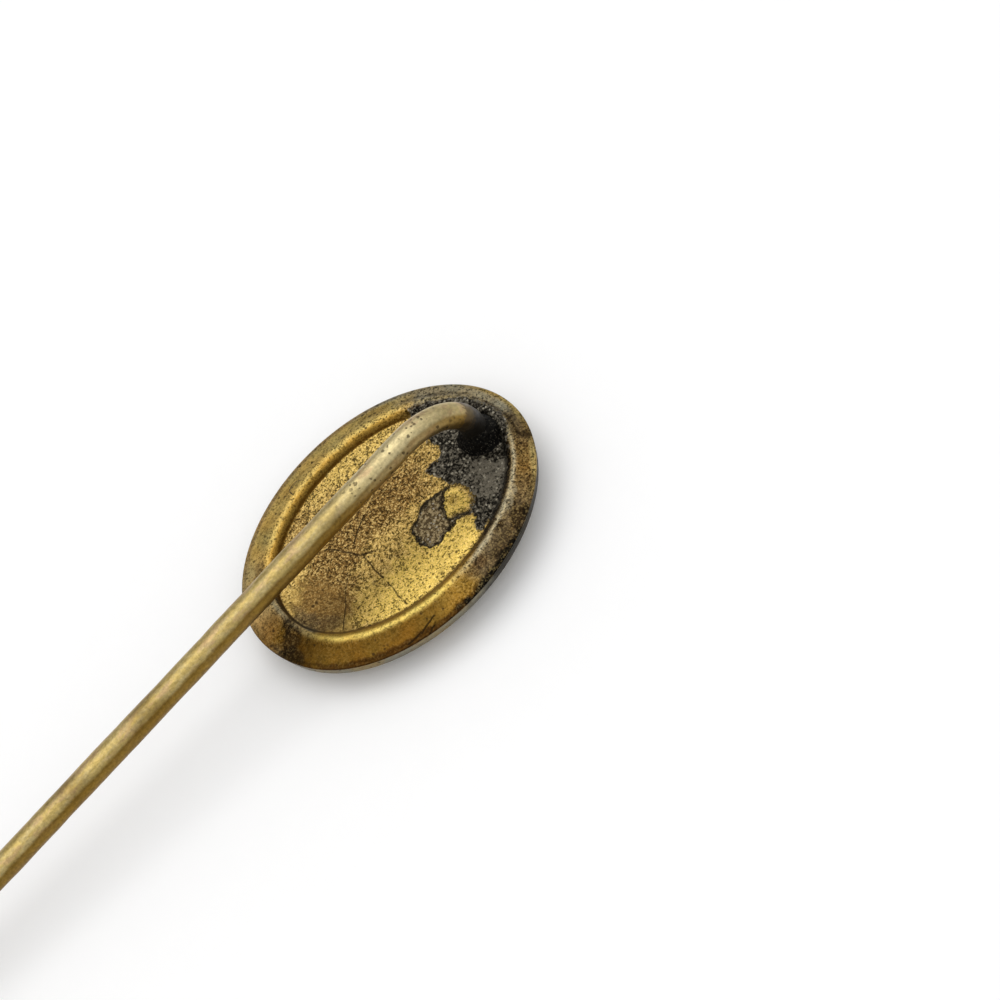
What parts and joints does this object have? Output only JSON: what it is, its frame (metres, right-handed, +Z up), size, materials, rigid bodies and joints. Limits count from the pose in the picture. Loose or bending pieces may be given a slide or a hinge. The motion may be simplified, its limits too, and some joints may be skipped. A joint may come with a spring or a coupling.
{
  "type": "stick pin",
  "caption": "Oval-headed stick pin with a stamped back plate, a low domed front and a bent wire stem soldered to the back, tapering to a point.",
  "frame": {"origin": "under the middle of the pin's length and width, on the surface that it lies on face down", "axes": "+X from the stem's point to the head's end, +Y across the head, +Z up, away from the surface and out of the pin's back"},
  "size_m": [0.0634, 0.0106, 0.0058],
  "materials": {
    "gilt_brass": "aged gilt with brown tarnish and black solder residue",
    "front_brass": "dull grey-olive tarnish"
  },
  "bodies": {
    "root": {"pin_back": "gilt_brass", "front_plate": "front_brass"}
  },
  "joints": []
}
